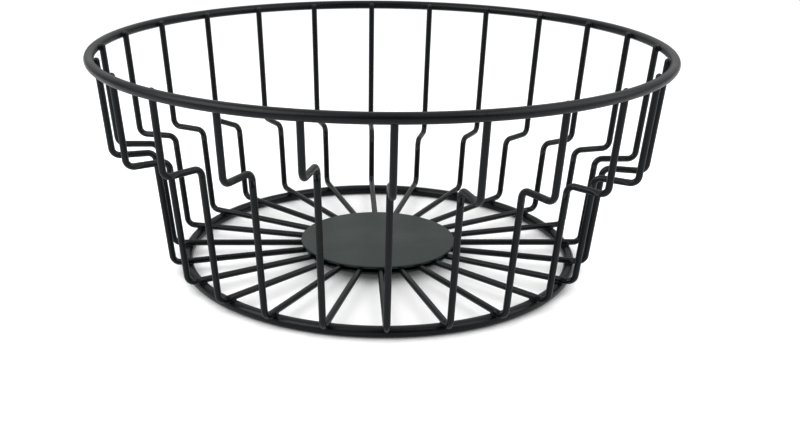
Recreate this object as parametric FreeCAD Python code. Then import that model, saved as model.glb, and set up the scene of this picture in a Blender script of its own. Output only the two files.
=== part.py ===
import FreeCAD, Part
import math
import os

# Egg collection basket: a round, stepped bowl of welded steel wire, powder coated in black.
#
# A closed rim hoop and a closed foot hoop carry 24 ribs, spaced evenly round the bowl. Each rib
# is one bent wire: an upper wall hanging from the inside of the rim, a level shoulder, a lower
# wall and a level floor spoke. The spokes rest on the foot hoop and end at the centre, clamped
# between two welded discs. The shoulder sits lowest at the +Y side and climbs by the same step
# from rib to rib, either way round, up to the rib at the -Y side, which takes a larger step.
#
# Millimetres, +Z up. The origin is the centre of the foot hoop's underside, where it stands.

# Wires
RIM_WIRE = 5.0
FOOT_WIRE = 5.6
RIB_WIRE = 3.2
BEND_RADIUS = 4.2            # of a rib's centreline, at each of its three bends

# Hoops
RIM_OUTER = 300.0            # outside diameter of the bowl
RIM_RADIUS = (RIM_OUTER - RIM_WIRE) / 2
RIM_Z = 115.5                # centre height of the rim wire
FOOT_RADIUS = 104.8          # centreline radius of the foot hoop
FOOT_Z = FOOT_WIRE / 2

# Resistance welds press the wires into each other by these depths
WELD_RIM = 0.6
WELD_FOOT = 0.6
WELD_DISC = 0.3

# Ribs
RIB_COUNT = 24
UPPER_LEAN = math.radians(5.0)       # inward, going down
LOWER_LEAN = math.radians(5.7)
RIB_END_Z = RIM_Z + RIM_WIRE / 2 - 0.9
RIB_END_ROUND = 1.45                 # the end at the rim is ground nearly to a dome
RIB_TOP_RADIUS = RIM_RADIUS - RIM_WIRE / 2 - RIB_WIRE / 2 + WELD_RIM
SPOKE_Z = FOOT_WIRE + RIB_WIRE / 2 - WELD_FOOT
LOWER_FOOT_RADIUS = 112.8            # where the lower wall meets the floor, before bending
SPOKE_END_RADIUS = 22.0              # cut inner end of a floor spoke
SHOULDER_LOW_Z = 34.3                # shoulder of the rib at +Y
SHOULDER_STEP = 4.15                 # climb from rib to rib
SHOULDER_HIGH_Z = 87.0               # shoulder of the rib at -Y

# Discs
DISC_THICKNESS = 1.5
DISC_RADIUS = 42.5
BACKING_RADIUS = 40.0
DISC_EDGE_ROUND = 0.5


def save(shape, node):
    """Writes one closed solid to parts/NODE.step."""
    solid = shape.Solids[0]
    if len(shape.Solids) != 1 or not solid.isValid():
        raise ValueError(f"{node} is not one valid solid")
    solid.exportStep(f"parts/{node}.step")


def hoop(radius, wire, height):
    """A closed ring of round wire, lying level."""
    return Part.makeTorus(radius, wire / 2, FreeCAD.Vector(0, 0, height))


def disc(radius, bottom):
    """A flat round plate with rounded rims."""
    plate = Part.makeCylinder(radius, DISC_THICKNESS, FreeCAD.Vector(0, 0, bottom))
    rims = [edge for edge in plate.Edges if isinstance(edge.Curve, Part.Circle)]
    return plate.makeFillet(DISC_EDGE_ROUND, rims)


def bent_path(corners, radius):
    """A wire path through the corners, with an arc of this radius at each bend."""
    edges = []
    start = corners[0]
    for before, corner, after in zip(corners, corners[1:], corners[2:]):
        towards = (before - corner).normalize()
        away = (after - corner).normalize()
        half_angle = towards.getAngle(away) / 2
        setback = radius / math.tan(half_angle)
        bisector = (towards + away).normalize()
        arc_start = corner + towards * setback
        arc_end = corner + away * setback
        arc_middle = corner + bisector * (radius / math.sin(half_angle) - radius)
        edges.append(Part.makeLine(start, arc_start))
        edges.append(Part.Arc(arc_start, arc_middle, arc_end).toShape())
        start = arc_end
    edges.append(Part.makeLine(start, corners[-1]))
    return Part.Wire(edges)


def shoulder_height(index):
    """Height of a rib's shoulder. It climbs either way round, from rib 0 to the rib opposite."""
    steps = min(index, RIB_COUNT - index)
    if steps == RIB_COUNT // 2:
        return SHOULDER_HIGH_Z
    return SHOULDER_LOW_Z + steps * SHOULDER_STEP


def rib_corners(shoulder_z):
    """Corners of a rib's centreline in the XZ plane, from the rim end to the centre end."""
    upper_radius = RIB_TOP_RADIUS - (RIM_Z - shoulder_z) * math.tan(UPPER_LEAN)
    lower_radius = LOWER_FOOT_RADIUS + (shoulder_z - SPOKE_Z) * math.tan(LOWER_LEAN)
    end_radius = RIB_TOP_RADIUS + (RIB_END_Z - RIM_Z) * math.tan(UPPER_LEAN)
    profile = [
        (end_radius, RIB_END_Z),
        (upper_radius, shoulder_z),
        (lower_radius, shoulder_z),
        (LOWER_FOOT_RADIUS, SPOKE_Z),
        (SPOKE_END_RADIUS, SPOKE_Z),
    ]
    return [FreeCAD.Vector(x, 0, z) for x, z in profile]


def rib(index, welded_to):
    """One bent rib, saddled where it is welded to its neighbours."""
    corners = rib_corners(shoulder_height(index))
    down = corners[1] - corners[0]
    section = Part.Wire([Part.makeCircle(RIB_WIRE / 2, corners[0], down)])
    wire = bent_path(corners, BEND_RADIUS).makePipeShell([section], True, False)
    top_edge = max(wire.Edges, key=lambda edge: edge.CenterOfMass.z)
    wire = wire.makeFillet(RIB_END_ROUND, [top_edge])
    for neighbour in welded_to:
        wire = wire.cut(neighbour)
    wire.rotate(FreeCAD.Vector(0, 0, 0), FreeCAD.Vector(0, 0, 1), 90 - index * 360 / RIB_COUNT)
    return wire


os.makedirs("parts", exist_ok=True)

rim_ring = hoop(RIM_RADIUS, RIM_WIRE, RIM_Z)
foot_ring = hoop(FOOT_RADIUS, FOOT_WIRE, FOOT_Z)
half_gap = RIB_WIRE / 2 - WELD_DISC
centre_disc = disc(DISC_RADIUS, SPOKE_Z + half_gap)
backing_disc = disc(BACKING_RADIUS, SPOKE_Z - half_gap - DISC_THICKNESS)

save(rim_ring, "rim_ring")
save(foot_ring, "foot_ring")
save(centre_disc, "centre_disc")
save(backing_disc, "backing_disc")
for index in range(RIB_COUNT):
    save(rib(index, [rim_ring, foot_ring, centre_disc, backing_disc]), f"rib_{index + 1:02d}")
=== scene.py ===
import math

import bmesh
import bpy
from mathutils import Matrix, Vector


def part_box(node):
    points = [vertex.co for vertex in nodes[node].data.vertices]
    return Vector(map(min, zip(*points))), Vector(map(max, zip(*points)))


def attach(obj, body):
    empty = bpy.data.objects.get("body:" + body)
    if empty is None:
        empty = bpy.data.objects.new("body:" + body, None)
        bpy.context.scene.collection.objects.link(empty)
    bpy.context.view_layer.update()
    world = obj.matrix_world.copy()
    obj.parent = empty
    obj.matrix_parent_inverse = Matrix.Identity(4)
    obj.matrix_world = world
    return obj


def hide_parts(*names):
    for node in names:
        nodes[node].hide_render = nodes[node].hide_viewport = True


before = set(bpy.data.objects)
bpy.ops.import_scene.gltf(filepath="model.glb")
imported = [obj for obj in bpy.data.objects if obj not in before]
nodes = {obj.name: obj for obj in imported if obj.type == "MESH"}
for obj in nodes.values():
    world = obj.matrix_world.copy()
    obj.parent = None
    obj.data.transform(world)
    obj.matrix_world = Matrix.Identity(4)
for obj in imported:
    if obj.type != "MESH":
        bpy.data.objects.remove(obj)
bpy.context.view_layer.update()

# The basket in metres, in the CAD frame. Every wire and disc is rebuilt as a smooth mesh on the
# place and size of its CAD node, with the welds between them, and coated with black powder coat.

rib_names = sorted(name for name in nodes if name.startswith("rib_"))
UP = Vector((0, 0, 1))
MM = 0.001

# Mesh fineness
ROUND_STEPS = 24             # points round a wire
BEND_STEPS = 10              # rings along a bend
EDGE_STEPS = 6               # rings over a rounded edge
RING_STEP = 4 * MM           # between rings along a straight run
HOOP_STEPS = 288             # rings round a hoop
DISC_STEPS = 192             # points round a disc
WELD_STEPS = 40              # rings round a weld
FILLET_STEPS = 5             # across a weld's fillet
HALVINGS = 40                # in the search for the end of a weld's curve

# Shape of the wire that a bounding box can't tell
BEND_RADIUS = 4.2 * MM
BEND_FLATTENING = 0.035      # a bent wire is this much thinner across the bend
RIM_END_ROUND = 1.55 * MM    # a rib's end at the rim is ground to a dome
INNER_END_ROUND = 0.3 * MM
WELD_FILLET = 0.45 * MM      # coated weld between two wires
WELD_SINK = 0.2              # share of the way to the wire's middle that a weld's root lies inside
DISC_EDGE_ROUND = 0.5 * MM

# Heights above the floor spokes, and depths below the rim, where a rib's walls are probed
PROBE_NEAR = 8 * MM
PROBE_FAR = 18 * MM

# Powder coat
CLOUD_SCALE = 35.0           # of slow changes in colour and gloss, per metre
SPECK_SCALE = 900.0          # of light flecks
PATCH_SCALE = 260.0          # of worn patches
SWELL_SCALE = 320.0          # of the wide waves of the orange peel
PEEL_SCALE = 1500.0          # of its fine grain
SPECK_LIGHTER = 2.2          # times the light coat colour
WORN_COLOUR = (0.045, 0.045, 0.046, 1)

# Floor and light
FLOOR_HALF = 4.0             # half the floor's side
LIT_OUT_TO = 0.4             # the floor is all lit by the soft boxes as far as here
GLOW_FROM = 1.4              # and glows by itself from here on
TARGET = (0, 0, 0.08)        # that the soft boxes face
TONE_CURVE = (               # (before, after) pairs that deepen the dark tones
    (0.025, 0.0105), (0.05, 0.0265), (0.12, 0.07), (0.25, 0.155), (0.5, 0.37), (0.75, 0.65)
)


# ---- Measuring the frame

def probe(name, start, direction):
    """The first point of a CAD node's surface that a ray from start meets."""
    found, place, _, _ = nodes[name].ray_cast(start, direction)
    if not found:
        raise ValueError(f"the ray misses {name}")
    return place


def hoop_size(name):
    """Centreline radius, wire radius and centre height of a hoop."""
    low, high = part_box(name)
    wire = (high.z - low.z) / 2
    return (high.x - low.x) / 2 - wire, wire, (high.z + low.z) / 2


def wall_line(name, across, heights, wire):
    """A rib wall's centreline, as a function from height to radius."""
    low, high = [probe(name, UP * z, across).xy.length for z in heights]
    slope = (high - low) / (heights[1] - heights[0])
    middle = low + wire * math.hypot(1, slope)
    return lambda z: middle + slope * (z - heights[0])


def rib_corners(name, across):
    """Wire radius and centreline corners of a rib, from its end at the rim to its inner end."""
    over_floor = across * (disc_radius + foot_radius) / 2
    top = probe(name, over_floor + UP * rim_z, -UP).z
    bottom = probe(name, over_floor - UP * rim_z, UP).z
    wire = (top - bottom) / 2
    floor_z = (top + bottom) / 2
    lower = wall_line(name, across, (floor_z + PROBE_NEAR, floor_z + PROBE_FAR), wire)
    upper = wall_line(name, across, (rim_z - PROBE_FAR, rim_z - PROBE_NEAR), wire)
    middle_z = (rim_z + floor_z) / 2
    over_shoulder = across * (lower(middle_z) + upper(middle_z)) / 2
    shoulder_z = probe(name, over_shoulder + UP * 2 * rim_z, -UP).z - wire
    end_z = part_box(name)[1].z
    inner = probe(name, UP * floor_z, across).xy.length
    profile = [
        (upper(end_z), end_z),
        (upper(shoulder_z), shoulder_z),
        (lower(shoulder_z), shoulder_z),
        (lower(floor_z), floor_z),
        (inner, floor_z),
    ]
    return wire, [across * radius + UP * z for radius, z in profile]


# ---- Meshes

def skin(name, shells, material, stands_for=(), crease=()):
    """A mesh piece made of closed shells. A shell is (rings, looped): rings of points that are
    joined one to the next, and either closed into a loop or capped at both ends. crease lists
    the points of a ring that sharp lines run along."""
    bm = bmesh.new()
    wear = bm.verts.layers.float.new("wear")
    for rings, looped in shells:
        made = []
        for ring in rings:
            made.append([bm.verts.new(point) for point, _ in ring])
            for vert, (_, worn) in zip(made[-1], ring):
                vert[wear] = worn
        pairs = list(zip(made, made[1:]))
        if looped:
            pairs.append((made[-1], made[0]))
        for one, other in pairs:
            for k in range(len(one)):
                bm.faces.new((one[k - 1], one[k], other[k], other[k - 1]))
            for k in crease:
                bm.edges.get((one[k], other[k])).smooth = False
        if not looped:
            for ring in (made[0], made[-1]):
                hub = bm.verts.new(sum((vert.co for vert in ring), Vector()) / len(ring))
                hub[wear] = ring[0][wear]
                for k in range(len(ring)):
                    bm.faces.new((ring[k - 1], ring[k], hub))
    bmesh.ops.recalc_face_normals(bm, faces=bm.faces)
    for face in bm.faces:
        face.smooth = True
    mesh = bpy.data.meshes.new(name)
    bm.to_mesh(mesh)
    bm.free()
    mesh.materials.append(material)
    piece = bpy.data.objects.new(name, mesh)
    bpy.context.scene.collection.objects.link(piece)
    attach(piece, "root")
    if stands_for:
        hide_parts(*stands_for)
    return piece


def swing(one, other, share):
    """The vector that far along the turn from one vector to another of the same length."""
    return one.slerp(other, share).normalized() * one.length


def round_ring(centre, side, other_side, width, height, worn=0.0):
    """A ring of points round a wire, width along side and height along the other side."""
    ring = []
    for k in range(ROUND_STEPS):
        turn = 2 * math.pi * k / ROUND_STEPS
        point = centre + side * width * math.cos(turn) + other_side * height * math.sin(turn)
        ring.append((point, worn))
    return ring


def bent_line(corners):
    """(point, direction, bending) along a line through the corners, with an arc at each bend.
    bending is 0 on a straight run and 1 in the middle of a bend."""
    line = []
    start = corners[0]
    for before, corner, after in zip(corners, corners[1:], corners[2:]):
        towards = (before - corner).normalized()
        away = (after - corner).normalized()
        half_angle = towards.angle(away) / 2
        setback = BEND_RADIUS / math.tan(half_angle)
        centre = corner + (towards + away).normalized() * BEND_RADIUS / math.sin(half_angle)
        first = corner + towards * setback - centre
        last = corner + away * setback - centre
        line += straight(start, centre + first)
        for k in range(BEND_STEPS + 1):
            share = k / BEND_STEPS
            direction = swing(-towards, away, share)
            bending = math.sin(math.pi * share)
            line.append((centre + swing(first, last, share), direction, bending))
        start = centre + last
    return line + straight(start, corners[-1]) + [(corners[-1], away, 0.0)]


def straight(start, end):
    """Evenly spaced entries of a straight run, without its end."""
    count = max(1, round((end - start).length / RING_STEP))
    direction = (end - start).normalized()
    return [(start.lerp(end, k / count), direction, 0.0) for k in range(count)]


def rounded_end(end, outward, side, other_side, wire, edge):
    """Rings over a cut wire end with a rounded edge, from the wire's side to its end face."""
    rings = []
    for k in range(1, EDGE_STEPS + 1):
        turn = math.pi / 2 * k / EDGE_STEPS
        width = wire - edge * (1 - math.cos(turn))
        place = end - outward * edge * (1 - math.sin(turn))
        rings.append(round_ring(place, side, other_side, width, width, worn=math.sin(turn)))
    return rings


def rib_shell(corners, wire, across):
    """Rings of one bent rib with rounded ends."""
    side = across.cross(UP)
    line = bent_line(corners)
    outward = (corners[0] - corners[1]).normalized()
    inward = (corners[-1] - corners[-2]).normalized()
    line[0] = (corners[0] - outward * RIM_END_ROUND, -outward, 0.0)
    line[-1] = (corners[-1] - inward * INNER_END_ROUND, inward, 0.0)
    rings = []
    for point, direction, bending in line:
        thin = wire * (1 - BEND_FLATTENING * bending)
        rings.append(round_ring(point, side, side.cross(direction), wire, thin))
    top = rounded_end(corners[0], outward, side, side.cross(-outward), wire, RIM_END_ROUND)
    inner = rounded_end(corners[-1], inward, side, side.cross(inward), wire, INNER_END_ROUND)
    return (top[::-1] + rings + inner, False)


def hoop_shell(radius, wire, z, wear_below=0.0):
    """Rings of a closed hoop. wear_below is the wear along its underside."""
    rings = []
    for k in range(HOOP_STEPS):
        turn = 2 * math.pi * k / HOOP_STEPS
        across = Vector((math.sin(turn), math.cos(turn), 0))
        ring = round_ring(across * radius + UP * z, across, UP, wire, wire)
        worn = [(point, wear_below * max(0, (z - point.z) / wire) ** 8) for point, _ in ring]
        rings.append(worn)
    return (rings, True)


def disc_shell(radius, low_z, high_z):
    """Rings of a flat disc from the middle of its underside, round its edge, to its top."""
    edge = DISC_EDGE_ROUND
    rounding = []
    for k in range(EDGE_STEPS + 1):
        turn = math.pi / 2 * k / EDGE_STEPS
        rounding.append((edge * math.sin(turn), edge * math.cos(turn)))
    profile = [(radius * share, low_z) for share in (0.02, 0.3, 0.6, 0.85)]
    profile += [(radius - edge + sine, low_z + edge - cosine) for sine, cosine in rounding]
    profile += [(radius - edge + cosine, high_z - edge + sine) for sine, cosine in rounding]
    profile += [(radius * share, high_z) for share in (0.97, 0.85, 0.6, 0.3, 0.02)]
    rings = []
    for distance, z in profile:
        ring = []
        for k in range(DISC_STEPS):
            turn = 2 * math.pi * k / DISC_STEPS
            ring.append((Vector((distance * math.sin(turn), distance * math.cos(turn), z)), 0.0))
        rings.append(ring)
    return (rings, False)


def crossing(wire, cross, distance, dome_z, share):
    """A point of the curve where two round wires meet. The first, of radius wire, lies along X
    through the origin. The second, of radius cross, comes along Z at y = distance and ends in a
    dome centred at z = dome_z. share goes from 0 to 1 once round the curve."""
    def width(turn):
        y, z = wire * math.cos(turn), wire * math.sin(turn)
        return cross ** 2 - (y - distance) ** 2 - max(0, z - dome_z) ** 2

    low = -math.acos((distance - cross) / wire)
    inside, high = 0.0, -low
    for _ in range(HALVINGS):
        middle = (inside + high) / 2
        inside, high = (middle, high) if width(middle) > 0 else (inside, middle)
    turn = (low + high) / 2 + (high - low) / 2 * math.cos(2 * math.pi * share)
    x = math.copysign(math.sqrt(max(0, width(turn))), math.sin(2 * math.pi * share))
    return Vector((x, wire * math.cos(turn), wire * math.sin(turn)))


def weld_shell(place, wire, cross, distance, dome_z=1.0):
    """A hollow fillet all round the place where two wires meet, as if a ball had rolled round in
    the corner between them. The arguments are those of crossing, in axes that place brings in.
    With dome_z left out, the second wire goes straight on."""
    rings = []
    for k in range(WELD_STEPS):
        share = k / WELD_STEPS
        centre = crossing(wire + WELD_FILLET, cross + WELD_FILLET, distance, dome_z, share)
        to_wire = Vector((0, -centre.y, -centre.z))
        to_cross = Vector((0, distance, min(centre.z, dome_z))) - centre
        to_wire.length = WELD_FILLET
        to_cross.length = WELD_FILLET
        ring = []
        for step in range(FILLET_STEPS + 1):
            ring.append(place @ (centre + swing(to_wire, to_cross, step / FILLET_STEPS)))
        root = crossing(wire, cross, distance, dome_z, share)
        ring.append(place @ root.lerp(Vector((0, wire, 0)), WELD_SINK))
        rings.append([(point, 0.0) for point in ring])
    return (rings, True)


def axes_at(origin, x_axis, y_axis, z_axis):
    """A matrix that puts the local axes at a place."""
    turned = Matrix((x_axis, y_axis, z_axis)).transposed()
    return Matrix.Translation(origin) @ turned.to_4x4()


# ---- Materials

def powder_coat(name, dark, light, roughness, grain, ior):
    """Satin black powder coat on steel. dark and light are the ends of its slight colour variation,
    roughness the ends of its gloss variation, grain the depth of its orange-peel bump, and ior its
    index of refraction."""
    material = bpy.data.materials.new(name)
    material.use_nodes = True
    tree = material.node_tree
    tree.nodes.clear()
    new, link = tree.nodes.new, tree.links.new
    output = new("ShaderNodeOutputMaterial")
    shader = new("ShaderNodeBsdfPrincipled")
    link(shader.outputs["BSDF"], output.inputs["Surface"])
    shader.inputs["IOR"].default_value = ior
    where = new("ShaderNodeTexCoord")

    def noise(scale, detail, rough=0.5):
        node = new("ShaderNodeTexNoise")
        node.inputs["Scale"].default_value = scale
        node.inputs["Detail"].default_value = detail
        node.inputs["Roughness"].default_value = rough
        link(where.outputs["Object"], node.inputs["Vector"])
        return node

    def mapped(source, low, high, from_low=0.35, from_high=0.65):
        node = new("ShaderNodeMapRange")
        node.inputs["From Min"].default_value = from_low
        node.inputs["From Max"].default_value = from_high
        node.inputs["To Min"].default_value = low
        node.inputs["To Max"].default_value = high
        link(source, node.inputs["Value"])
        return node.outputs["Result"]

    def mix(factor, one, other):
        node = new("ShaderNodeMix")
        node.data_type = "RGBA"
        for socket, value in (("Factor", factor), ("A", one), ("B", other)):
            target = [s for s in node.inputs if s.name == socket and s.enabled][0]
            if isinstance(value, bpy.types.NodeSocket):
                link(value, target)
            else:
                target.default_value = value
        return [s for s in node.outputs if s.enabled][0]

    cloud = noise(CLOUD_SCALE, 3.0)
    speck = noise(SPECK_SCALE, 2.0, 0.6)
    cloud_share = mapped(cloud.outputs["Fac"], 0.0, 1.0)
    colour = mix(cloud_share, (*dark, 1), (*light, 1))
    fleck_share = mapped(speck.outputs["Fac"], 0.0, 0.35, 0.55, 0.75)
    colour = mix(fleck_share, colour, (*[SPECK_LIGHTER * c for c in light], 1))

    worn = new("ShaderNodeAttribute")
    worn.attribute_name = "wear"
    patch = mapped(noise(PATCH_SCALE, 4.0, 0.7).outputs["Fac"], 0.0, 1.0, 0.45, 0.6)
    wear_share = new("ShaderNodeMath")
    wear_share.operation = "MULTIPLY"
    link(worn.outputs["Fac"], wear_share.inputs[0])
    link(patch, wear_share.inputs[1])
    colour = mix(wear_share.outputs["Value"], colour, WORN_COLOUR)
    link(colour, shader.inputs["Base Color"])

    link(mapped(cloud.outputs["Fac"], *roughness), shader.inputs["Roughness"])

    def bump(height, strength, distance):
        node = new("ShaderNodeBump")
        node.inputs["Strength"].default_value = strength
        node.inputs["Distance"].default_value = distance
        link(height.outputs["Fac"], node.inputs["Height"])
        return node

    peel = bump(noise(PEEL_SCALE, 2.0, 0.55), 0.6, grain)
    swell = bump(noise(SWELL_SCALE, 1.0), 0.4, grain * 3)
    link(swell.outputs["Normal"], peel.inputs["Normal"])
    link(peel.outputs["Normal"], shader.inputs["Normal"])
    return material


def plain_floor_material():
    """A matt white floor, lit a little from below, like a light table. Further out, where the
    soft boxes don't reach, its own glow takes over, so it stays white to the horizon."""
    material = bpy.data.materials.new("white_floor")
    material.use_nodes = True
    tree = material.node_tree
    shader = tree.nodes["Principled BSDF"]
    shader.inputs["Roughness"].default_value = 0.9
    shader.inputs["Specular IOR Level"].default_value = 0.1
    shader.inputs["Emission Color"].default_value = (1, 1, 1, 1)
    where = tree.nodes.new("ShaderNodeTexCoord")
    distance = tree.nodes.new("ShaderNodeVectorMath")
    distance.operation = "LENGTH"
    tree.links.new(where.outputs["Object"], distance.inputs[0])
    for near, far, socket in ((0.77, 0.0, "Base Color"), (0.07, 1.0, "Emission Strength")):
        fade = tree.nodes.new("ShaderNodeMapRange")
        fade.interpolation_type = "SMOOTHSTEP"
        fade.inputs["From Min"].default_value = LIT_OUT_TO
        fade.inputs["From Max"].default_value = GLOW_FROM
        fade.inputs["To Min"].default_value = near
        fade.inputs["To Max"].default_value = far
        tree.links.new(distance.outputs["Value"], fade.inputs["Value"])
        tree.links.new(fade.outputs["Result"], shader.inputs[socket])
    return material


# ---- The basket

rim_radius, rim_wire, rim_z = hoop_size("rim_ring")
foot_radius, foot_wire, foot_z = hoop_size("foot_ring")
disc_low, disc_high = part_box("centre_disc")
backing_low, backing_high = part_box("backing_disc")
disc_radius = (disc_high.x - disc_low.x) / 2
backing_radius = (backing_high.x - backing_low.x) / 2

wire_coat = powder_coat(
    "wire_powder_coat",
    dark=(0.0034, 0.0047, 0.0060),
    light=(0.0060, 0.0080, 0.0100),
    roughness=(0.26, 0.36),
    grain=0.05 * MM,
    ior=1.37,
)
plate_coat = powder_coat(
    "plate_powder_coat",
    dark=(0.0040, 0.0135, 0.0110),
    light=(0.0075, 0.0185, 0.0155),
    roughness=(0.34, 0.44),
    grain=0.04 * MM,
    ior=1.47,
)

skin("rim_hoop", [hoop_shell(rim_radius, rim_wire, rim_z)], wire_coat, ["rim_ring"])
skin("foot_hoop", [hoop_shell(foot_radius, foot_wire, foot_z, wear_below=1.0)],
     wire_coat, ["foot_ring"])
skin("centre_plate", [disc_shell(disc_radius, disc_low.z, disc_high.z)],
     plate_coat, ["centre_disc"])
skin("backing_plate", [disc_shell(backing_radius, backing_low.z, backing_high.z)],
     plate_coat, ["backing_disc"])

rim_welds, foot_welds = [], []
for index, name in enumerate(rib_names):
    angle = 2 * math.pi * index / len(rib_names)
    across = Vector((math.sin(angle), math.cos(angle), 0))
    along = across.cross(UP)
    wire, corners = rib_corners(name, across)
    skin(name + "_wire", [rib_shell(corners, wire, across)], wire_coat, [name])

    rim_place = across * rim_radius + UP * rim_z
    rib_way = (corners[0] - corners[1]).normalized()
    to_rib = rib_way.cross(along)
    if to_rib.dot(-across) < 0:
        to_rib = -to_rib
    distance = (corners[0] - rim_place).dot(to_rib)
    place = axes_at(rim_place, to_rib.cross(rib_way), to_rib, rib_way)
    dome_z = (corners[0] - rim_place).dot(rib_way) - wire
    rim_welds.append(weld_shell(place, rim_wire, wire, distance, dome_z))

    foot_place = across * foot_radius + UP * foot_z
    place = axes_at(foot_place, UP.cross(across), UP, across)
    distance = corners[-1].z - foot_z
    foot_welds.append(weld_shell(place, foot_wire, wire, distance))

skin("rim_welds", rim_welds, wire_coat, crease=(0, FILLET_STEPS))
skin("foot_welds", foot_welds, wire_coat, crease=(0, FILLET_STEPS))


# ---- Floor, light and camera

def make_floor():
    """The floor, at the height of the foot hoop's underside."""
    bm = bmesh.new()
    bmesh.ops.create_grid(bm, x_segments=8, y_segments=8, size=FLOOR_HALF)
    mesh = bpy.data.meshes.new("floor")
    bm.to_mesh(mesh)
    bm.free()
    mesh.materials.append(plain_floor_material())
    floor = bpy.data.objects.new("floor", mesh)
    bpy.context.scene.collection.objects.link(floor)


def make_soft_light(name, place, size, power):
    """A rectangular soft box at a place, facing the basket."""
    light = bpy.data.lights.new(name, "AREA")
    light.shape = "RECTANGLE"
    light.size, light.size_y = size
    light.energy = power
    box = bpy.data.objects.new(name, light)
    box.location = place
    box.rotation_mode = "QUATERNION"
    box.rotation_quaternion = (Vector(TARGET) - place).to_track_quat("-Z", "Y")
    bpy.context.scene.collection.objects.link(box)


def make_world(bright):
    """A white room, brightest towards the direction called bright, and dim on the opposite side."""
    world = bpy.data.worlds.new("white_room")
    bpy.context.scene.world = world
    world.use_nodes = True
    tree = world.node_tree
    tree.nodes.clear()
    new, link = tree.nodes.new, tree.links.new
    output = new("ShaderNodeOutputWorld")
    ground = new("ShaderNodeBackground")
    link(ground.outputs["Background"], output.inputs["Surface"])
    where = new("ShaderNodeTexCoord")
    facing = new("ShaderNodeVectorMath")
    facing.operation = "DOT_PRODUCT"
    facing.inputs[1].default_value = bright.normalized()
    link(where.outputs["Generated"], facing.inputs[0])
    ramp = new("ShaderNodeMapRange")
    ramp.interpolation_type = "SMOOTHSTEP"
    ramp.inputs["From Min"].default_value = 0.0
    ramp.inputs["From Max"].default_value = 0.95
    ramp.inputs["To Min"].default_value = 0.25
    ramp.inputs["To Max"].default_value = 1.35
    link(facing.outputs["Value"], ramp.inputs["Value"])
    rays = new("ShaderNodeLightPath")
    seen = new("ShaderNodeMix")
    link(rays.outputs["Is Camera Ray"], seen.inputs[0])
    link(ramp.outputs["Result"], seen.inputs[2])
    seen.inputs[3].default_value = 1.0
    link(seen.outputs[0], ground.inputs["Strength"])
    ground.inputs["Color"].default_value = (1, 1, 1, 1)


def make_camera():
    """The view from a little above the rim, over the side where the shoulders are highest. Returns
    the turn from the basket's axes to the viewer's, whose Y points away from the viewer."""
    round_axis = math.radians(12.617)        # of the view, anticlockwise from -Y
    from_axis = 0.5396
    above_rim = 0.1011
    heading = math.radians(-1.346)
    tilt = math.radians(20.88)
    roll = math.radians(0.304)
    turned = Matrix.Rotation(round_axis, 3, "Z")
    place = turned @ Vector((0, -from_axis, rim_z + above_rim))
    look = turned @ Vector(
        (math.sin(heading) * math.cos(tilt), math.cos(heading) * math.cos(tilt), -math.sin(tilt))
    )
    level = turned @ Vector((math.cos(heading), -math.sin(heading), 0))
    upward = level.cross(look)
    right = level * math.cos(roll) + upward * math.sin(roll)
    upward = upward * math.cos(roll) - level * math.sin(roll)
    lens = bpy.data.cameras.new("camera")
    lens.lens = 46.76
    lens.shift_x = 0.05625
    lens.shift_y = 0.01875
    lens.clip_start = 0.01
    camera = bpy.data.objects.new("camera", lens)
    camera.matrix_world = axes_at(place, right, upward, -look)
    bpy.context.scene.collection.objects.link(camera)
    bpy.context.scene.camera = camera
    return turned


turned = make_camera()
make_floor()
make_world(turned @ Vector((0.02, 0.34, 0.94)))
make_soft_light("left_box", turned @ Vector((-0.85, -0.52, 0.70)), size=(1.2, 0.9), power=11.5)
make_soft_light("right_box", turned @ Vector((0.95, -0.30, 0.70)), size=(1.4, 1.1), power=9.5)

view = bpy.context.scene.view_settings
view.view_transform = "Standard"
view.use_curve_mapping = True
curve = view.curve_mapping.curves[3]
for before, after in TONE_CURVE:
    curve.points.new(before, after)
view.curve_mapping.update()
